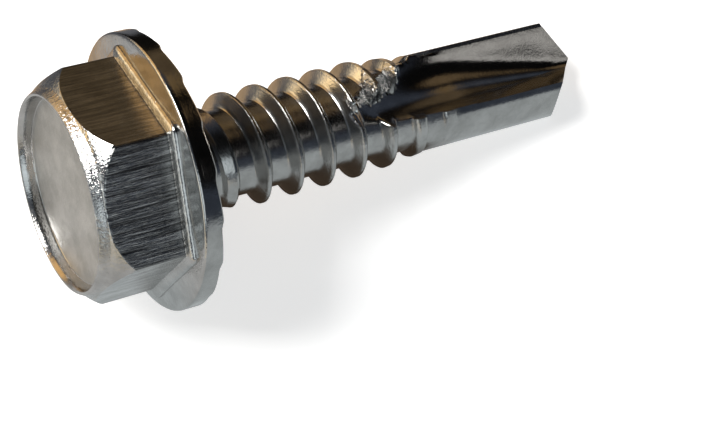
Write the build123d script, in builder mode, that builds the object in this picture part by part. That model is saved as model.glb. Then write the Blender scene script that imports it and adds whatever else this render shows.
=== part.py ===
# Self-drilling screw with a hexagon head on a serrated flange, lying at rest on its flange and drill point.
from build123d import *
import math
import os

os.makedirs("parts", exist_ok=True)

# Head, millimetres. The bearing side of the flange is the height zero and the head is above it.
across_flats = 7.94
hex_edge_radius = 0.12
hex_corner_angle = 10.6
rim_crown_height = 4.18
rim_crown_radius = 3.74
rim_crown_flat = 0.10
shoulder_width = 0.23
shoulder_drop = 0.35
chamfer_middle_run = 0.28
chamfer_middle_drop = 0.26
chamfer_run = 0.73
chamfer_drop = 0.97
recess_lip_width = 0.12
recess_lip_drop = 0.16
recess_wall_width = 0.05
recess_wall_drop = 0.40

# Collar left by the heading die round the foot of the hexagon.
collar_offset = 0.36
collar_height = 1.10
collar_bevel = 0.19
collar_corner_radius = 0.40
collar_top_margin = 0.02

# Flange with a slightly conical top and ratchet serrations underneath.
flange_radius = 5.36
flange_edge_height = 0.80
flange_edge_round = 0.08
flange_cone_rise = 0.14
flange_lower_edge_bevel = 0.06
serration_count = 18
serration_outer_depth = 0.13
serration_inner_depth = 0.06
serration_inner_radius = 2.60
serration_step_share = 0.14
serration_overrun = 0.40
serration_clearance = 0.05

# Shank and thread.
root_radius = 1.765
neck_fillet_radius = 0.65
major_radius = 2.28
thread_pitch = 1.41
thread_crest_width = 0.13
thread_flank_angle = 29.0
thread_root_overlap = 0.15
thread_fade_step = 0.02
thread_start_height = -11.796
thread_height = 11.0
run_in_start = -0.80
run_in_full = -2.90
fade_start = -8.60
fade_end = -11.40
trim_radius = 4.0
trim_seam_angle = 37.0

# Drill point: two lands, each falling back from its cutting corner, and two flutes.
drill_radius = 2.00
land_middle_radius = 1.91
heel_radius = 1.84
rake_angle = 80.7
web_half_width = 0.24
land_start_angle = rake_angle - math.degrees(math.asin(web_half_width / drill_radius))
land_angle = 79.0
drill_shoulder_height = -11.1
drill_corner_height = -18.0
drill_tip_height = -19.3
overlap = 1.0
lip_relief_angle = 35.0
flute_bottom_radius = 1.60
flute_point_radius = 0.50
flute_back_wall = -0.48
flute_reach = 2 * drill_radius
flute_straight_end = -13.0
flute_run_out = -6.6
flute_lift = 2.2
flute_lift_angle = rake_angle - 100

# Resting pose: the side of the screw that faces the floor, and how far its axis leans towards the point.
rest_side_angle = 200.595
rest_lean = 12.966


def polar(radius, degrees):
    return (radius * math.cos(math.radians(degrees)), radius * math.sin(math.radians(degrees)))


def direction(degrees):
    return Vector(*polar(1, degrees), 0)


# Half plane through the axis in which the ends of the thread are turned down.
trim_plane = Plane((0, 0, 0), x_dir=direction(trim_seam_angle), z_dir=direction(trim_seam_angle - 90))


with BuildPart() as thread:
    # Ridge of the rolled thread, wound up from the drill body to the neck.
    with BuildLine(Plane.XY.offset(thread_start_height)) as helix_line:
        Helix(thread_pitch, thread_height, root_radius)
    thread_depth = major_radius - root_radius
    base_half = thread_crest_width / 2 + (thread_depth + thread_root_overlap) * math.tan(
        math.radians(thread_flank_angle)
    )
    with BuildSketch(Plane(helix_line.line @ 0, x_dir=(1, 0, 0), z_dir=helix_line.line % 0)):
        with BuildLine():
            Polyline(
                (-thread_root_overlap, -base_half),
                (thread_depth, -thread_crest_width / 2),
                (thread_depth, thread_crest_width / 2),
                (-thread_root_overlap, base_half),
                close=True,
            )
        make_face()
    sweep(path=helix_line.line, is_frenet=True)
    # Crest rising out of the neck at one end and fading on the drill body at the other.
    for full_height, low_radius, low_height, end_height in (
        (run_in_full, root_radius - thread_root_overlap, run_in_start, overlap),
        (fade_start, drill_radius - thread_fade_step, fade_end, thread_start_height - overlap),
    ):
        slope = (full_height - low_height) / (major_radius - low_radius)
        with BuildSketch(trim_plane):
            with BuildLine():
                Polyline(
                    (trim_radius, low_height + slope * (trim_radius - low_radius)),
                    (low_radius, low_height),
                    (low_radius, end_height),
                    (trim_radius, end_height),
                    close=True,
                )
            make_face()
        revolve(axis=Axis.Z, mode=Mode.SUBTRACT)

with BuildPart() as screw:
    # Hexagon trimmed by the turned chamfer, with the shallow recess in its top.
    with BuildSketch(Plane.XY):
        RegularPolygon(across_flats / 2, 6, major_radius=False, rotation=hex_corner_angle)
        fillet(vertices(), hex_edge_radius)
    extrude(amount=rim_crown_height)
    shoulder_radius = rim_crown_radius + shoulder_width
    shoulder_height = rim_crown_height - shoulder_drop
    recess_edge_radius = rim_crown_radius - recess_lip_width
    recess_floor_height = rim_crown_height - recess_lip_drop - recess_wall_drop
    with BuildSketch(Plane.XZ):
        with BuildLine():
            Polyline(
                (0, 0),
                (shoulder_radius + chamfer_run, 0),
                (shoulder_radius + chamfer_run, shoulder_height - chamfer_drop),
            )
            ThreePointArc(
                (shoulder_radius + chamfer_run, shoulder_height - chamfer_drop),
                (shoulder_radius + chamfer_middle_run, shoulder_height - chamfer_middle_drop),
                (shoulder_radius, shoulder_height),
            )
            Polyline(
                (shoulder_radius, shoulder_height),
                (rim_crown_radius + rim_crown_flat / 2, rim_crown_height),
                (rim_crown_radius - rim_crown_flat / 2, rim_crown_height),
                (recess_edge_radius, rim_crown_height - recess_lip_drop),
                (recess_edge_radius - recess_wall_width, recess_floor_height),
                (0, recess_floor_height),
                (0, 0),
            )
        make_face()
    revolve(axis=Axis.Z, mode=Mode.INTERSECT)

    # Flange, neck and core in one turned body.
    with BuildSketch(Plane.XZ):
        with BuildLine():
            Polyline(
                (0, drill_shoulder_height - overlap),
                (root_radius, drill_shoulder_height - overlap),
                (root_radius, -neck_fillet_radius),
            )
            Bezier(
                (root_radius, -neck_fillet_radius),
                (root_radius, 0),
                (root_radius + neck_fillet_radius, 0),
            )
            Polyline(
                (root_radius + neck_fillet_radius, 0),
                (flange_radius - flange_lower_edge_bevel, 0),
                (flange_radius, flange_lower_edge_bevel),
                (flange_radius, flange_edge_height),
                (across_flats / 2, flange_edge_height + flange_cone_rise),
                (0, flange_edge_height + flange_cone_rise),
                (0, drill_shoulder_height - overlap),
            )
        make_face()
        fillet(vertices().sort_by_distance((flange_radius, 0, flange_edge_height))[0], flange_edge_round)
    revolve(axis=Axis.Z)
    add(thread.part)

    # Collar at the foot of the hexagon.
    with BuildSketch(Plane.XY.offset(flange_edge_height)):
        RegularPolygon(across_flats / 2 + collar_offset, 6, major_radius=False, rotation=hex_corner_angle)
        fillet(vertices(), collar_corner_radius)
    extrude(amount=collar_height - flange_edge_height - collar_bevel)
    with BuildSketch(Plane.XY.offset(collar_height - collar_bevel)):
        RegularPolygon(across_flats / 2 + collar_offset, 6, major_radius=False, rotation=hex_corner_angle)
        fillet(vertices(), collar_corner_radius)
    with BuildSketch(Plane.XY.offset(collar_height)):
        RegularPolygon(across_flats / 2 + collar_top_margin, 6, major_radius=False, rotation=hex_corner_angle)
        fillet(vertices(), hex_edge_radius)
    loft()

    # Drill body, its two lands falling back from the cutting corners.
    with BuildSketch(Plane.XY.offset(drill_shoulder_height)):
        with BuildLine():
            for turn in (0, 180):
                corner = land_start_angle + turn
                heel = corner + land_angle
                ThreePointArc(
                    polar(drill_radius, corner),
                    polar(land_middle_radius, corner + land_angle / 2),
                    polar(heel_radius, heel),
                )
                ThreePointArc(
                    polar(heel_radius, heel),
                    polar(heel_radius, (heel + corner + 180) / 2),
                    polar(drill_radius, corner + 180),
                )
        make_face()
    extrude(amount=drill_tip_height - drill_shoulder_height)

    # Two relief faces behind the cutting lips, meeting in the chisel edge.
    for turn in (0, 180):
        lip = Vector(*polar(drill_radius, rake_angle + turn), drill_corner_height - drill_tip_height)
        behind = Vector(
            *polar(math.cos(math.radians(lip_relief_angle)), rake_angle + turn + 90),
            math.sin(math.radians(lip_relief_angle)),
        )
        lip_start = Vector(*polar(web_half_width, rake_angle + turn - 90), drill_tip_height)
        with BuildSketch(Plane(origin=lip_start, x_dir=lip, z_dir=behind.cross(lip))):
            Rectangle(4 * drill_radius, 4 * drill_radius)
        extrude(amount=drill_radius, mode=Mode.SUBTRACT)

    # Ratchet serrations, deepest at the rim.
    span = 360 / serration_count
    for tooth in range(serration_count):
        start = tooth * span
        for radius, depth in (
            (serration_inner_radius, serration_inner_depth),
            (flange_radius + serration_overrun, serration_outer_depth),
        ):
            run = 2 * radius * math.tan(math.radians(span / 2))
            tooth_plane = Plane((*polar(radius, start), 0), x_dir=direction(start + 90), z_dir=direction(start))
            with BuildSketch(tooth_plane):
                with BuildLine():
                    Polyline(
                        (-run / 2, -serration_clearance),
                        (-run / 2, 0),
                        (run / 2 - run * serration_step_share, depth),
                        (run / 2, 0),
                        (run / 2, -serration_clearance),
                        close=True,
                    )
                make_face()
        loft(mode=Mode.SUBTRACT)

    # Flutes, opening out behind the point and running out through the last turns of the thread.
    for turn in (0, 180):
        for height, bottom_radius in (
            (drill_tip_height - overlap, flute_point_radius),
            (flute_straight_end, flute_bottom_radius),
        ):
            with BuildSketch(Plane((0, 0, height), x_dir=direction(rake_angle + turn))) as flute_section:
                with BuildLine():
                    Polyline(
                        (flute_back_wall, -(web_half_width + bottom_radius)),
                        (flute_back_wall, -flute_reach),
                        (flute_reach, -flute_reach),
                        (flute_reach, -web_half_width),
                        (flute_back_wall + bottom_radius, -web_half_width),
                    )
                    RadiusArc(
                        (flute_back_wall + bottom_radius, -web_half_width),
                        (flute_back_wall, -(web_half_width + bottom_radius)),
                        -bottom_radius,
                    )
                make_face()
        loft(mode=Mode.SUBTRACT)
        run_plane = Plane(
            (0, 0, 0), x_dir=direction(flute_lift_angle + turn), z_dir=direction(flute_lift_angle + turn - 90)
        )
        with BuildLine(run_plane) as flute_line:
            TangentArc((0, flute_straight_end), (flute_lift, flute_run_out), tangent=(0, 1))
        sweep(sections=flute_section.sketch, path=flute_line.line, mode=Mode.SUBTRACT)

# Laid down with the drill point to the right, its lowest points on the floor.
lying = Rot(0, rest_lean - 90, 0) * Rot(0, 0, 180 - rest_side_angle) * screw.part
box = lying.bounding_box()
placed = Pos(-box.center().X, -box.center().Y, -box.min.Z) * lying
placed.label = "screw"
export_step(placed, "parts/screw.step")
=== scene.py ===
import bmesh
import bpy
import numpy as np
from mathutils import Matrix, Vector


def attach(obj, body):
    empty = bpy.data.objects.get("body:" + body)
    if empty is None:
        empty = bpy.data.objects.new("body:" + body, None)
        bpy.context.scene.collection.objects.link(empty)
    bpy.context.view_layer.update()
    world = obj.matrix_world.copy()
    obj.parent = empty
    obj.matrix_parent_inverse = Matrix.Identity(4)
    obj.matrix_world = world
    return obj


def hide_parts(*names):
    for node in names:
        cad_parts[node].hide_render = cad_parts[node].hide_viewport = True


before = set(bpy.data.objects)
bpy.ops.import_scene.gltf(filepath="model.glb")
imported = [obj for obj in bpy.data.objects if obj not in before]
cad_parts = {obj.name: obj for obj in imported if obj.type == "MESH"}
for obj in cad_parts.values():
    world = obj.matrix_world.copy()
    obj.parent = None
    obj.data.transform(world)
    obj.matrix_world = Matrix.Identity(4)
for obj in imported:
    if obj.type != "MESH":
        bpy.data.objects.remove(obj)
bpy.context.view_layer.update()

# Round the screw: the whole fastener is one cold-forged piece of carbon steel, so its skin is one surface.
# Its columns run along the axis, closer together at the hexagon's corners, the ratchet teeth
# and the cutting edges. Sizes are in millimetres and degrees, heights from the flange's bearing side.
even_step = 1.5
hexagon_corner = 10.6
cutting_corner = 73.81
land_angle = 79.0
tooth_count = 18
tooth_step_share = 0.14


def column_angles():
    """Angles from 0 to 360 degrees: an even step of 1.5 degrees, with a few closer columns about each edge
    that runs along or across the screw."""
    tooth = 360 / tooth_count
    even = np.arange(0, 360, even_step)
    corners = hexagon_corner + 60 * np.arange(6)
    cutters = np.array([cutting_corner, cutting_corner + 180])
    heels = cutters + land_angle
    tips = tooth * np.arange(tooth_count) + tooth / 2
    closer = [
        np.add.outer(corners, [-1.6, -0.8, -0.4, 0, 0.4, 0.8, 1.6]),
        np.add.outer(cutters, [-3.0, -1.2, -0.5, -0.1, 0, 0.1, 0.6]),
        np.add.outer(heels, [-2.0, -1.0, 0, 1.0, 1.8, 2.3, 2.8, 3.3, 3.8, 4.6]),
        np.add.outer(tips, [-tooth * tooth_step_share, 0, 1.4]),
    ]
    every = np.concatenate([even] + [group.ravel() % 360 for group in closer])
    return np.append(np.unique(every.round(3)), 360.0)


column = column_angles()

# Head: a hexagon 7.94 mm across flats, upset in a die, its top turned to a chamfer round a shallow recess.
# A collar of metal squeezed out of the die stands round the foot of the flats.
across_flats = 7.94
flat_edge_radius = 0.14
shoulder_radius = 3.97
shoulder_height = 3.83
collar_offset = 0.36
collar_corner_radius = 0.42
collar_top = 1.10
collar_waist = 0.91
collar_ledge = 0.02
flat_foot = collar_top + 0.03
most_dragged_flat = 340.6
other_flats_drag = 0.45


def hexagon_radius(angle, apothem, corner):
    """Distance from the axis to a hexagon with rounded corners: apothem over the cosine of the angle off the
    flat's middle, and near a corner the far crossing of the ray with the corner's circle."""
    off_corner = np.abs((angle - hexagon_corner + 30) % 60 - 30)
    flat = apothem / np.cos(np.radians(30 - off_corner))
    centre = (apothem - corner) / np.cos(np.radians(30))
    beta = np.radians(off_corner)
    inside = np.maximum(corner**2 - (centre * np.sin(beta)) ** 2, 0)
    round_off = centre * np.cos(beta) + np.sqrt(inside)
    limit = np.degrees(np.arctan2(corner / 2, centre + corner * np.cos(np.radians(30))))
    return np.where(off_corner < limit, round_off, flat)


def chamfer_height(radius):
    """Height of the turned chamfer: a parabola through its shoulder, its middle and its foot at the
    hexagon's corners."""
    radii = np.array([shoulder_radius, 4.25, 4.70])
    heights = np.array([shoulder_height, 3.57, 2.86])
    return np.polyval(np.polyfit(radii, heights, 2), radius)


def ring(angle, radius, height, flat=0, torn=0, satin=0):
    """One row of the skin round the axis: its radius and height, and the surface marks flat, torn and satin,
    each from 0 to 1, spread over every column."""
    return np.stack([value + 0 * angle for value in (radius, height, flat, torn, satin)])


def head_profile(angle):
    """Rows from the middle of the recess over the rim, the chamfer and the flats to the foot of the collar.
    Each turned ring is given by its radius, height, torn mark and satin mark."""
    hexagon = hexagon_radius(angle, across_flats / 2, flat_edge_radius)
    collar = hexagon_radius(angle, across_flats / 2 + collar_offset, collar_corner_radius)
    rows = []
    recess = [
        (0, 3.62, 0, 1), (1.0, 3.62, 0, 1), (2.0, 3.62, 0, 1), (2.9, 3.62, 0, 1), (3.30, 3.62, 0, 1),
        (3.48, 3.621, 0, 0.9), (3.53, 3.628, 0, 0.5), (3.556, 3.648, 0, 0.2), (3.569, 3.69, 0.1, 0.1),
        (3.58, 3.76, 0.2, 0.1), (3.596, 3.88, 0.2, 0.1), (3.612, 3.98, 0.2, 0.1),
    ]
    rim = [
        (3.624, 4.02, 0.2, 0.1), (3.645, 4.065, 0.2, 0.1), (3.668, 4.12, 0.2, 0.1), (3.69, 4.158, 0.3, 0.1),
        (3.715, 4.174, 0.3, 0.1), (3.745, 4.178, 0.4, 0.1), (3.78, 4.168, 0.6, 0.1), (3.81, 4.13, 0.8, 0.1),
        (3.87, 4.02, 1, 0), (3.93, 3.905, 1, 0), (shoulder_radius, shoulder_height, 1, 0),
    ]
    for radius, height, torn, satin in recess + rim:
        rows.append(ring(angle, radius, height, torn=torn, satin=satin))
    for share in np.linspace(0, 1, 9)[1:]:
        radius = shoulder_radius + (hexagon - shoulder_radius) * share
        rows.append(ring(angle, radius, chamfer_height(radius), torn=0.6 - 0.25 * share**6))
    top = chamfer_height(hexagon)
    off_flat = np.abs((angle - most_dragged_flat + 180) % 360 - 180)
    drag_lines = np.where(off_flat < 30, 1.0, other_flats_drag)
    for share in (0.02, 0.15, 0.3, 0.45, 0.6, 0.75, 0.88, 1.0):
        rows.append(ring(angle, hexagon, top + (flat_foot - top) * share, flat=drag_lines))
    for turn in np.radians([10, 30, 50, 70, 90]):
        radius = hexagon + collar_ledge + (collar - hexagon - collar_ledge) * np.sin(turn)
        height = collar_waist + (collar_top - collar_waist) * np.cos(turn)
        rows.append(ring(angle, radius, height, torn=0.45))
    return rows


# Flange: a slightly conical washer face forged with the head, with eighteen ratchet teeth pressed into its
# underside. The teeth run out through the rim, where their ends are worn, and a small rounded neck leads
# from them into the shank.
flange_radius = 5.36
flange_edge_height = 0.80
flange_cone_rise = 0.14
rim_round = 0.09
rim_round_height = 0.715
lower_edge_bevel = 0.06
tooth_inner_radius = 2.60
tooth_inner_depth = 0.06
tooth_outer_depth = 0.13
tooth_overrun = 0.40
tooth_end = 0.02
tooth_wear_angle = 1.4
root_radius = 1.765
neck_fillet_radius = 0.65


def tooth_share(angle):
    """Depth of a ratchet tooth round the flange, from 0 to 1: it rises evenly along most of the tooth and
    falls back over its last seventh."""
    place = (angle / 360 * tooth_count + 0.5) % 1
    return np.minimum(place / (1 - tooth_step_share), (1 - place) / tooth_step_share)


def flange_profile(angle):
    """Rows from the foot of the collar over the cone and the rim to the neck. Under the flange the height is
    the tooth's depth at that radius times its share, averaged at the rim with a little way either side."""
    collar = hexagon_radius(angle, across_flats / 2 + collar_offset, collar_corner_radius)
    share = tooth_share(angle)
    cone = flange_cone_rise / (flange_radius - across_flats / 2)
    rows = []
    for step in (0, 0.2, 0.4, 0.6, 0.8, 1.0):
        radius = collar + (flange_radius - rim_round - collar) * step
        height = flange_edge_height + cone * (flange_radius - radius)
        rows.append(ring(angle, radius, height, torn=0.25))
    for turn in np.radians([15, 35, 60, 90]):
        radius = flange_radius - rim_round + rim_round * np.sin(turn)
        rows.append(ring(angle, radius, rim_round_height + rim_round * np.cos(turn), torn=0.25))
    for height in (0.55, 0.38):
        rows.append(ring(angle, flange_radius, height, torn=0.06))
    slope = (tooth_outer_depth - tooth_inner_depth) / (flange_radius + tooth_overrun - tooth_inner_radius)
    rim_depth = tooth_inner_depth + slope * (flange_radius - tooth_inner_radius)
    beside = tooth_share(angle - tooth_wear_angle) + tooth_share(angle + tooth_wear_angle)
    worn = (beside + 2 * share) / 4
    for inset, lift, kept, torn in ((0, 0.07, 0.8, 0.2), (lower_edge_bevel, 0.005, 0.9, 0.4)):
        rows.append(ring(angle, flange_radius - inset, lift + kept * rim_depth * worn, torn=torn))
    for radius in (5.0, 4.4, 3.8, 3.2, tooth_inner_radius + tooth_end):
        depth = tooth_inner_depth + slope * (radius - tooth_inner_radius)
        rows.append(ring(angle, radius, depth * share))
    rows.append(ring(angle, tooth_inner_radius - tooth_end, 0))
    for step in (0, 0.2, 0.4, 0.6, 0.8):
        radius = root_radius + neck_fillet_radius * (1 - step) ** 2
        rows.append(ring(angle, radius, -neck_fillet_radius * step**2))
    return rows


# Drill body: the pinched and milled end of the same wire, with two lands that fall back from their cutting
# corners and two flutes between them. Each flute has a flat rake face, a little dished, and a round gullet,
# and lifts out of the steel along an arc towards the thread.
rake_angle = 80.7
drill_radius = 2.00
heel_radius = 1.84
land_bow = 0.04
tip_height = -19.3
lip_slope = 0.65
web_half = 0.24
back_wall = 0.48
gullet = 2.00
gullet_at_point = 0.36
gullet_at_point_height = -20.3
flute_straight_end = -13.0
flute_arc = 10.409
flute_arc_share = 0.98
lift_angle = -100.0
margin_end = drill_radius - 0.62
dish_slope = 0.05
dish_softness = 0.10
dish_above_lip = 0.45
dish_growth = 0.35
dish_top = -11.6
dish_top_fade = 1.5
open_flute = 9.0
hair = 1e-6


def land_radius(angle):
    """Radius of the drill body: from each cutting corner it falls back along the land by a parabola to the
    heel's radius, and stays there over the flute."""
    place = ((angle - cutting_corner) % 180) / land_angle
    fall = drill_radius - heel_radius + land_bow
    return np.where(place <= 1, drill_radius - fall * place + land_bow * place**2, heel_radius)


def rake_dish(along):
    """Depth of the dish in the rake face at a distance from the axis: none on the flat margin by the cutting
    edge, then an even slope inwards that starts softly."""
    return dish_slope * dish_softness * np.logaddexp(0, (margin_end - along) / dish_softness)


def flute_radius(angle, height, side):
    """Distance from the axis to one flute's wall: the rake face, then the round gullet up to the heel, where
    the wall of the land behind stops it. The gullet widens evenly from the point to the end of the straight
    stretch, and above that the flute moves out of the steel along an arc. The dish fades out near the lip and
    near the thread. Where the ray meets no wall, the flute is open."""
    phi = np.radians(angle - rake_angle - 180 * side)
    ux, uy = np.cos(phi), np.sin(phi)
    rise = np.clip(height - flute_straight_end, 0, flute_arc_share * flute_arc)
    lift = flute_arc - np.sqrt(flute_arc**2 - rise**2)
    wall_x = -back_wall + lift * np.cos(np.radians(lift_angle))
    wall_y = -web_half + lift * np.sin(np.radians(lift_angle))
    share = (height - gullet_at_point_height) / (flute_straight_end - gullet_at_point_height)
    bottom = gullet_at_point + (gullet - gullet_at_point) * np.clip(share, 0, 1)
    slant = np.minimum(uy, -hair)
    flat = wall_y / slant
    lip = tip_height + lip_slope * np.clip(flat * ux, 0, drill_radius)
    above_lip = np.clip((height - lip - dish_above_lip) / dish_growth, 0, 1)
    fade = above_lip * np.clip((dish_top - height) / dish_top_fade, 0, 1)
    for again in range(5):
        flat = np.where(flat * ux > 0, (wall_y + rake_dish(flat * ux) * fade) / slant, flat)
    flat = np.where(uy < -hair, flat, open_flute)
    centre_x = wall_x + bottom
    centre_y = wall_y - bottom + rake_dish(centre_x) * fade
    along = centre_x * ux + centre_y * uy
    inside = along**2 - centre_x**2 - centre_y**2 + bottom**2
    arc = along - np.sqrt(np.maximum(inside, 0))
    on_flat = flat * ux > centre_x
    missed = (inside <= 0) & (ux > 0.1)
    in_gullet = np.where((inside > 0) & (along > 0), arc, open_flute)
    wall = np.where(on_flat | missed, flat, in_gullet)
    return np.where((uy < 0) & (heel_radius * ux > wall_x), wall, open_flute)


# Thread: one right-hand ridge rolled at 1.41 mm pitch, rising out of the neck and fading on the drill body.
# The two flutes run out through its last turns and leave torn burrs on the cut crests.
crest_radius = 2.28
pitch = 1.41
crest_half = 0.065
flank_slope = np.tan(np.radians(29.0))
root_round = 0.03
crest_round = 0.012
crest_start = -11.796
run_in_start = -0.80
run_in_full = -2.90
run_in_radius = root_radius - 0.15
fade_start = -8.60
fade_end = -11.40
fade_radius = drill_radius - 0.02
thread_lowest = -12.3
drill_shoulder_height = -11.05
drill_shoulder_reach = 0.25
heel_softness = 0.10
edge_softness = 0.006
soft_heel_start = 40
soft_heel_end = 130
lowest_torn_ridge = 0.08
burr_heights = [-13.0, -10.9, -10.2, -8.9, -7.7, -6.6]
burr_limits = [90, 80, 35, 13, 3, -9]
burr_edge = 7.0
burr_end = 80
crest_mark = 0.4
crest_mark_start = 2.17
crest_mark_reach = 0.08
ridge_mark = 0.1
ridge_mark_reach = 0.2
rolled_satin = 0.2


def ridge_radius(distance):
    """Radius of the thread at an axial distance from its crest: straight flanks between the root and the
    crest, with a small round at both."""
    depth = crest_radius - root_radius
    sharp = root_radius + (crest_half + depth * flank_slope - np.abs(distance)) / flank_slope
    low = root_radius + root_round * np.logaddexp(0, (sharp - root_radius) / root_round)
    return crest_radius - crest_round * np.logaddexp(0, (crest_radius - low) / crest_round)


def turned_radius(height, low_height, full_height, low_radius):
    """Radius of the cone that turns an end of the ridge down: an even slope from the low radius at the low
    height to the crest's at the full height."""
    return low_radius + (height - low_height) / (full_height - low_height) * (crest_radius - low_radius)


def burr_share(angle, height):
    """How much of the ridge stays where it runs out over a flute, from 0 to 1: all of it down to a ragged
    limit that climbs round the flute towards the head, and none below. Two waves make the limit ragged."""
    limit = np.interp(height, burr_heights, burr_limits)
    limit = limit + 3.0 * np.sin(9.0 * height) + 2.0 * np.sin(31.0 * height + 1.0)
    place = (angle + 90) % 180 - 90
    return np.clip((place - limit) / burr_edge, 0, 1) * (place < burr_end)


def shank_radius(angle, height, distance):
    """Radius of the shank, and where it is milled: the ridge, turned down by a cone at either end, or the
    core where that is higher, less what the two flutes take away, with a soft heel behind each land. The
    ridge's torn ends stand out over the flutes."""
    up = turned_radius(height, run_in_start, run_in_full, run_in_radius)
    down = turned_radius(height, fade_end, fade_start, fade_radius)
    ridge = np.minimum(np.minimum(ridge_radius(distance), up), down)
    blend = (drill_shoulder_height + drill_shoulder_reach - height) / (2 * drill_shoulder_reach)
    blend = np.clip(blend, 0, 1)
    blend = blend**2 * (3 - 2 * blend)
    core = root_radius + (land_radius(angle) - root_radius) * blend
    body = np.maximum(core, ridge)
    cut = np.minimum(flute_radius(angle, height, 0), flute_radius(angle, height, 1))
    behind = (angle - cutting_corner) % 180
    on_heel = (behind > soft_heel_start) & (behind < soft_heel_end)
    soft = np.where(on_heel, heel_softness, edge_softness)
    milled = np.minimum(body, cut) - soft * np.log1p(np.exp(-np.abs(body - cut) / soft))
    stays = burr_share(angle, height)
    over_flute = (ridge > root_radius + lowest_torn_ridge) & (ridge > cut)
    torn = np.where(over_flute, milled + (ridge - milled) * stays, milled)
    return np.maximum(torn, milled), cut < body


def thread_profile(angle):
    """Rows that climb with the helix, so that each crest and root keeps its own row: height = start + pitch
    times (turns + angle), held between the neck and the drill body."""
    rows = []
    above = [0.60, 0.48, 0.38, 0.33, 0.27, 0.20, 0.13, 0.08, 0.05]
    below = [-step for step in reversed(above)]
    for turn in range(8, -2, -1):
        for offset in above + below:
            centre = crest_start + pitch * (angle / 360 + turn)
            height = np.clip(centre + offset, thread_lowest, -neck_fillet_radius)
            distance = (height - crest_start - pitch * angle / 360 + pitch / 2) % pitch - pitch / 2
            radius, milled = shank_radius(angle, height, distance)
            on_crest = crest_mark * np.clip((radius - crest_mark_start) / crest_mark_reach, 0, 1) * ~milled
            on_ridge = ridge_mark * np.clip((radius - root_radius) / ridge_mark_reach, 0, 1)
            burr = milled * burr_share(angle, height)
            torn = np.clip(np.maximum(on_crest, on_ridge) + burr, 0, 1)
            rows.append(ring(angle, radius, height, torn=torn, satin=rolled_satin * ~milled))
    return rows


# Drill point: flat lips ground behind the two cutting edges of the hardened end.
# The lips rise at 33 degrees to the corners and fall back 35 degrees behind them, meeting in the chisel edge.
relief = np.tan(np.radians(35.0))
first_end_height = -16.0
level_rows_end = -17.0


def lip_height(angle, radius):
    """Height of the ground end: the higher of two planes, each rising along its lip and away behind it."""
    phi = np.radians(angle - rake_angle)
    x, y = radius * np.cos(phi), radius * np.sin(phi)
    first = tip_height + lip_slope * x + relief * (y + web_half)
    second = tip_height - lip_slope * x + relief * (web_half - y)
    return np.maximum(first, second)


def drill_profile(angle):
    """Rows down the lands and flutes to the ground end, then inwards over the lips to the middle of the
    chisel edge. The end lies where the shank's radius and the ground faces meet, found in a few steps."""
    rows = []
    between_crests = pitch / 2
    end_height = first_end_height + 0 * angle
    for again in range(5):
        end, _ = shank_radius(angle, end_height, between_crests)
        end_height = lip_height(angle, end)
    levels = [-12.5, -12.8, -13.2, -13.8, -14.6, -15.4, -16.2, level_rows_end]
    for share in (0.35, 0.7, 1.0):
        levels.append(level_rows_end + (end_height - level_rows_end) * share)
    for height in levels:
        radius, _ = shank_radius(angle, height, between_crests)
        rows.append(ring(angle, radius, height))
    for share in (0.97, 0.8, 0.6, 0.4, 0.2, 0.0):
        rows.append(ring(angle, end * share, lip_height(angle, end * share)))
    return rows


# Lying: the screw rests on the rim of its flange and on two edges of the drill point, the head to the left.
# The axis leans 12.97 degrees towards the point, with the side at 200.6 degrees underneath.
rest_side = 200.595
rest_lean = 12.966
flange_centre = np.array([-6.89798, 0.0, 5.20797])
mm = 0.001
weld_distance = 0.001 * mm
sliver = 0.0002 * mm
sharp_angle = 0.56


def lay_down(x, y, z):
    """Turns the upright screw about its own axis, then tips it over, and moves the flange's centre to its
    place above the floor."""
    turn, tip = np.radians(180 - rest_side), np.radians(rest_lean - 90)
    along, across = x * np.cos(turn) - y * np.sin(turn), x * np.sin(turn) + y * np.cos(turn)
    east = along * np.cos(tip) + z * np.sin(tip)
    up = -along * np.sin(tip) + z * np.cos(tip)
    return np.stack([east, across, up], axis=-1) + flange_centre


rows = head_profile(column) + flange_profile(column) + thread_profile(column) + drill_profile(column)
radius, height, flat_mark, torn_mark, satin_mark = np.array(rows).transpose(1, 0, 2)
turn = np.radians(column)[None, :]
points = lay_down(radius * np.cos(turn), radius * np.sin(turn), height) * mm
count_rows, count_columns = radius.shape
first = np.arange(count_rows - 1)[:, None] * count_columns + np.arange(count_columns - 1)[None, :]
quads = np.stack([first, first + count_columns, first + count_columns + 1, first + 1], axis=-1)

skin = bpy.data.meshes.new("forged_screw")
skin.from_pydata(points.reshape(-1, 3).tolist(), [], quads.reshape(-1, 4).tolist())
for name, values in (("flat_mark", flat_mark), ("torn_mark", torn_mark), ("satin_mark", satin_mark)):
    skin.attributes.new(name, "FLOAT", "POINT").data.foreach_set("value", values.ravel())
shell = bmesh.new()
shell.from_mesh(skin)
bmesh.ops.remove_doubles(shell, verts=shell.verts, dist=weld_distance)
bmesh.ops.dissolve_degenerate(shell, edges=shell.edges, dist=sliver)
bmesh.ops.recalc_face_normals(shell, faces=shell.faces)
shell.to_mesh(skin)
shell.free()
skin.shade_smooth()
skin.set_sharp_from_angle(angle=sharp_angle)
screw = bpy.data.objects.new("forged_screw", skin)
bpy.context.scene.collection.objects.link(screw)

# Finish: hardened steel under a thin bright zinc plating, satin on the forged faces and torn along the
# trimmed edges. The flats keep fine drag lines from the die, along the axis; the plating varies a little
# in sheen and colour.
dull_zinc = (0.40, 0.395, 0.385, 1)
bright_zinc = (0.53, 0.525, 0.515, 1)
darkest_streak = 0.30
brightest_streak = 1.55
polished_roughness = 0.09
cloud_roughness = 0.08
torn_roughness = 0.07
satin_roughness = 0.44
flat_roughness = 0.10
drag_relief = 3.0
tear_relief = 4.5
satin_relief = 1.6
even_relief = 0.25

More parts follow.
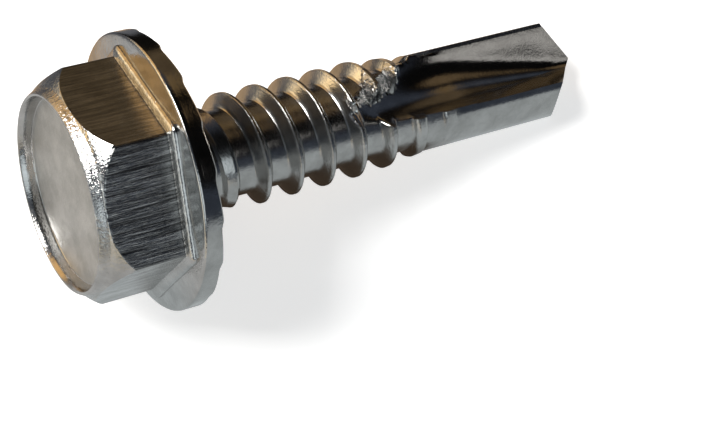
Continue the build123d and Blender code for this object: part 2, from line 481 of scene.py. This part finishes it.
plating = bpy.data.materials.new("bright_plating")
plating.use_nodes = True
tree = plating.node_tree
nodes, links = tree.nodes, tree.links
shader = nodes["Principled BSDF"]
shader.inputs["Metallic"].default_value = 1.0


def place_texture(kind, scale, stretch, **settings):
    """A texture in the screw's own axes: object coordinates turned upright again, then scaled by stretch."""
    coordinate = nodes.new("ShaderNodeTexCoord")
    upright = nodes.new("ShaderNodeMapping")
    axes = np.array(lay_down(np.array([1, 0, 0, 0]), np.array([0, 1, 0, 0]), np.array([0, 0, 1, 0])))
    turned = Matrix((axes[:3] - axes[3]).tolist())
    upright.inputs["Rotation"].default_value = turned.to_euler("XYZ")
    upright.inputs["Location"].default_value = -(turned @ Vector(flange_centre * mm))
    links.new(coordinate.outputs["Object"], upright.inputs["Vector"])
    stretched = nodes.new("ShaderNodeMapping")
    stretched.inputs["Scale"].default_value = stretch
    links.new(upright.outputs["Vector"], stretched.inputs["Vector"])
    texture = nodes.new(kind)
    texture.inputs["Scale"].default_value = scale
    for key, value in settings.items():
        texture.inputs[key].default_value = value
    links.new(stretched.outputs["Vector"], texture.inputs["Vector"])
    return texture


def math_node(operation, *values):
    """One Math node on its inputs, each a socket or a number."""
    node = nodes.new("ShaderNodeMath")
    node.operation = operation
    for socket, value in zip(node.inputs, values):
        if hasattr(value, "is_output"):
            links.new(value, socket)
        else:
            socket.default_value = value
    return node.outputs[0]


def mark(name):
    """The value of one of the skin's marks."""
    node = nodes.new("ShaderNodeAttribute")
    node.attribute_name = name
    return node.outputs["Fac"]


flat_socket, torn_socket, satin_socket = mark("flat_mark"), mark("torn_mark"), mark("satin_mark")
cloud = place_texture("ShaderNodeTexNoise", 900, (1, 1, 1), Detail=4, Roughness=0.65)
grain = place_texture("ShaderNodeTexNoise", 9000, (1, 1, 1), Detail=3, Roughness=0.6)
drag = place_texture("ShaderNodeTexNoise", 8000, (1, 1, 0.055), Detail=4, Roughness=0.65)
tear = place_texture("ShaderNodeTexNoise", 5200, (1, 1, 0.7), Detail=3, Roughness=0.7)

tint = nodes.new("ShaderNodeValToRGB")
tint.color_ramp.elements[0].position = 0.35
tint.color_ramp.elements[0].color = dull_zinc
tint.color_ramp.elements[1].position = 0.65
tint.color_ramp.elements[1].color = bright_zinc
links.new(cloud.outputs["Fac"], tint.inputs["Fac"])
streak = nodes.new("ShaderNodeMapRange")
streak.inputs["From Min"].default_value = 0.36
streak.inputs["From Max"].default_value = 0.64
streak.inputs["To Min"].default_value = darkest_streak
streak.inputs["To Max"].default_value = brightest_streak
streak.clamp = True
links.new(drag.outputs["Fac"], streak.inputs["Value"])
dragged = nodes.new("ShaderNodeMix")
dragged.data_type = "RGBA"
dragged.blend_type = "MULTIPLY"
links.new(flat_socket, dragged.inputs["Factor"])
links.new(tint.outputs["Color"], dragged.inputs[6])
links.new(streak.outputs["Result"], dragged.inputs[7])
links.new(dragged.outputs[2], shader.inputs["Base Color"])

sheen = math_node("MULTIPLY_ADD", cloud.outputs["Fac"], cloud_roughness, polished_roughness)
for socket, amount in (
    (torn_socket, torn_roughness),
    (satin_socket, satin_roughness),
    (flat_socket, flat_roughness),
):
    sheen = math_node("ADD", sheen, math_node("MULTIPLY", socket, amount))
links.new(sheen, shader.inputs["Roughness"])

drag_lines = math_node("MULTIPLY", math_node("MULTIPLY", drag.outputs["Fac"], flat_socket), drag_relief)
tears = math_node("MULTIPLY", math_node("MULTIPLY", tear.outputs["Fac"], torn_socket), tear_relief)
satin_grain = math_node("ADD", math_node("MULTIPLY", satin_socket, satin_relief), even_relief)
surface = math_node("ADD", drag_lines, tears)
surface = math_node("ADD", surface, math_node("MULTIPLY", grain.outputs["Fac"], satin_grain))
bump = nodes.new("ShaderNodeBump")
bump.inputs["Strength"].default_value = 0.6
bump.inputs["Distance"].default_value = 0.02 * mm
links.new(surface, bump.inputs["Height"])
links.new(bump.outputs["Normal"], shader.inputs["Normal"])

skin.materials.append(plating)
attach(screw, "root")
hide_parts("screw")

# Floor: a wide white table that keeps the screw's soft shadow.
# It glows a little for the camera, so that it reads as a lit studio ground. For glossy rays it glows instead
# in painted reflection patches, pale, gold and dark, laid round the screw, with a painted shadow beneath it.
table_reach = 1.2
camera_glow = 0.64
# Painted reflection: the pale glow that glossy rays see on the floor.
painted_pale_reflection = (0.51, 0.55, 0.56)
# Painted shadow: the dark glow that glossy rays see on the floor beneath the screw.
painted_shadow_beneath = (0.07, 0.05, 0.035)

floor_mesh = bpy.data.meshes.new("table_top")
corners = [(-table_reach, -table_reach, 0), (table_reach, -table_reach, 0)]
corners += [(table_reach, table_reach, 0), (-table_reach, table_reach, 0)]
floor_mesh.from_pydata(corners, [], [(0, 1, 2, 3)])
table_top = bpy.data.objects.new("table_top", floor_mesh)
bpy.context.scene.collection.objects.link(table_top)
paper = bpy.data.materials.new("white_table")
paper.use_nodes = True
paper_nodes, paper_links = paper.node_tree.nodes, paper.node_tree.links
paper_shader = paper_nodes["Principled BSDF"]
paper_shader.inputs["Base Color"].default_value = (0.86, 0.86, 0.86, 1)
paper_shader.inputs["Roughness"].default_value = 0.9
paper_shader.inputs["Specular IOR Level"].default_value = 0.0
paper_shader.inputs["Emission Color"].default_value = (1, 1, 1, 1)
ray = paper_nodes.new("ShaderNodeLightPath")
glow = paper_nodes.new("ShaderNodeMath")
glow.operation = "MULTIPLY"
glow.inputs[1].default_value = camera_glow
paper_links.new(ray.outputs["Is Camera Ray"], glow.inputs[0])
paper_links.new(glow.outputs[0], paper_shader.inputs["Emission Strength"])
place = paper_nodes.new("ShaderNodeTexCoord")
apart = paper_nodes.new("ShaderNodeSeparateXYZ")
paper_links.new(place.outputs["Object"], apart.inputs[0])


def along_floor(axis, start, end):
    """A share from 0 to 1 that rises softly between two places on the table along x or y."""
    ramp = paper_nodes.new("ShaderNodeMapRange")
    ramp.interpolation_type = "SMOOTHSTEP"
    ramp.inputs["From Min"].default_value = start * mm
    ramp.inputs["From Max"].default_value = end * mm
    paper_links.new(apart.outputs[axis], ramp.inputs["Value"])
    return ramp.outputs["Result"]


def mix_colour(share, first, second):
    """One colour turning into another, each a socket or three numbers."""
    node = paper_nodes.new("ShaderNodeMix")
    node.data_type = "RGBA"
    paper_links.new(share, node.inputs["Factor"])
    for socket, value in ((node.inputs[6], first), (node.inputs[7], second)):
        if hasattr(value, "is_output"):
            paper_links.new(value, socket)
        else:
            socket.default_value = (*value, 1)
    return node.outputs[2]


# Painted reflection: the colours the metal mirrors in the floor, seen by glossy rays only, glowing pale, gold
# and dark by place on the table.
far_back = mix_colour(along_floor("Y", 16, 24), (0.15, 0.155, 0.17), (0.008, 0.007, 0.006))
behind = mix_colour(along_floor("Y", 10, 12.5), (0.62, 0.43, 0.26), far_back)
# Painted shadow: the floor glows dark beneath the screw for glossy rays, where the screw's own shadow lies.
beneath = mix_colour(along_floor("Y", -5.0, -3.6), painted_pale_reflection, painted_shadow_beneath)
beneath = mix_colour(along_floor("X", 3, 6.5), beneath, painted_pale_reflection)
beneath = mix_colour(along_floor("X", -7.6, -9.2), beneath, painted_pale_reflection)
middle = mix_colour(along_floor("Y", 1, 6), beneath, behind)
beside = mix_colour(along_floor("Y", 10, 14), (0.65, 0.65, 0.64), (0.13, 0.135, 0.15))
far_left = mix_colour(along_floor("X", -26, -42), beside, (0.95, 0.84, 0.64))
mirrored = mix_colour(along_floor("X", -10.5, -13.5), middle, far_left)
# Glossy rays see this painted reflection glow instead of the lit table.
shown = paper_nodes.new("ShaderNodeEmission")
paper_links.new(mirrored, shown.inputs["Color"])
choice = paper_nodes.new("ShaderNodeMixShader")
paper_links.new(ray.outputs["Is Glossy Ray"], choice.inputs["Fac"])
paper_links.new(paper_shader.outputs["BSDF"], choice.inputs[1])
paper_links.new(shown.outputs["Emission"], choice.inputs[2])
paper_links.new(choice.outputs["Shader"], paper_nodes["Material Output"].inputs["Surface"])
floor_mesh.materials.append(paper)

# Light: a dim cool room with bright and dark boards round the table, and one large soft lamp high behind
# the head. The boards are the soft patches that bright metal shows: black overhead, brown and pale at the
# sides, gold and white beyond the head. Each has an azimuth, an elevation, a reach, a soft edge and a colour.
dim_room = (0.048, 0.058, 0.078, 1)
white_backdrop = (0.93, 0.93, 0.93, 1)
boards = [
    (-10, 60, 36, 12, (0.004, 0.004, 0.004)),
    (60, -5, 26, 10, (0.006, 0.005, 0.004)),
    (59, 18, 12, 7, (0.125, 0.088, 0.049)),
    (44, 33, 7, 5, (0.22, 0.145, 0.066)),
    (17, 42.5, 6, 6, (0.17, 0.115, 0.060)),
    (-35.5, 33.2, 2.5, 3, (0.72, 0.70, 0.67)),
    (-75, -22, 28, 5, (0.51, 0.55, 0.57)),
    (110, 20, 14, 11, (1.20, 0.72, 0.28)),
    (146, 3, 11, 8, (3.00, 2.15, 1.10)),
    (-168, 2, 16, 10, (1.25, 1.33, 1.33)),
    (-111, 34, 15, 10, (1.05, 1.17, 1.22)),
]

world = bpy.data.worlds.new("room")
bpy.context.scene.world = world
world.use_nodes = True
room_nodes, room_links = world.node_tree.nodes, world.node_tree.links
gaze = room_nodes.new("ShaderNodeTexCoord")


def toward(azimuth, elevation):
    """The unit vector from the screw towards an azimuth and elevation."""
    a, e = np.radians(azimuth), np.radians(elevation)
    return Vector((np.cos(a) * np.cos(e), np.sin(a) * np.cos(e), np.sin(e)))


def put_board(below, azimuth, elevation, reach, soft, colour):
    """A round patch of the room over what is below it: full inside reach degrees of its middle, gone over
    the next soft degrees."""
    nearness = room_nodes.new("ShaderNodeVectorMath")
    nearness.operation = "DOT_PRODUCT"
    nearness.inputs[1].default_value = toward(azimuth, elevation)
    room_links.new(gaze.outputs["Generated"], nearness.inputs[0])
    edge = room_nodes.new("ShaderNodeMapRange")
    edge.interpolation_type = "SMOOTHSTEP"
    edge.inputs["From Min"].default_value = np.cos(np.radians(reach + soft))
    edge.inputs["From Max"].default_value = np.cos(np.radians(reach))
    room_links.new(nearness.outputs["Value"], edge.inputs["Value"])
    over = room_nodes.new("ShaderNodeMix")
    over.data_type = "RGBA"
    room_links.new(edge.outputs["Result"], over.inputs["Factor"])
    room_links.new(below, over.inputs[6])
    over.inputs[7].default_value = (*colour, 1)
    return over.outputs[2]


plain = room_nodes.new("ShaderNodeRGB")
plain.outputs[0].default_value = dim_room
patch = plain.outputs[0]
for azimuth, elevation, reach, soft, colour in boards:
    patch = put_board(patch, azimuth, elevation, reach, soft, colour)
look = room_nodes.new("ShaderNodeLightPath")
seen_room = room_nodes.new("ShaderNodeMix")
seen_room.data_type = "RGBA"
room_links.new(look.outputs["Is Camera Ray"], seen_room.inputs["Factor"])
room_links.new(patch, seen_room.inputs[6])
seen_room.inputs[7].default_value = white_backdrop
room_links.new(seen_room.outputs[2], room_nodes["Background"].inputs["Color"])

high_lamp = bpy.data.lights.new("high_lamp", "AREA")
high_lamp.shape = "SQUARE"
high_lamp.size = 0.12
high_lamp.energy = 0.85
high_lamp.color = (1.0, 0.99, 0.97)
lamp_side = toward(152, 52)
lamp_holder = bpy.data.objects.new("high_lamp", high_lamp)
lamp_holder.location = lamp_side * 0.30
lamp_holder.rotation_mode = "QUATERNION"
lamp_holder.rotation_quaternion = lamp_side.to_track_quat("Z", "Y")
bpy.context.scene.collection.objects.link(lamp_holder)

# Camera: the photograph's long lens, looking steeply down on the lying screw.
# It is rolled about its own view, tilted up from straight down, and then turned to its heading.
eye_place = Vector((-17.2799, -24.5909, 63.9156)) * mm
eye_heading = -39.94688
eye_tilt = 24.04436
eye_roll = 16.68303
photograph_width = 728
focal_pixels = 1700

long_lens = bpy.data.cameras.new("long_lens")
long_lens.sensor_width = 36.0
long_lens.lens = focal_pixels * long_lens.sensor_width / photograph_width
long_lens.clip_start = 0.005
long_lens.clip_end = 10
eye = bpy.data.objects.new("long_lens", long_lens)
eye.matrix_world = (
    Matrix.Translation(eye_place)
    @ Matrix.Rotation(np.radians(eye_heading), 4, "Z")
    @ Matrix.Rotation(np.radians(eye_tilt), 4, "X")
    @ Matrix.Rotation(np.radians(eye_roll), 4, "Z")
)
bpy.context.scene.collection.objects.link(eye)
bpy.context.scene.camera = eye
bpy.context.scene.view_settings.view_transform = "Standard"
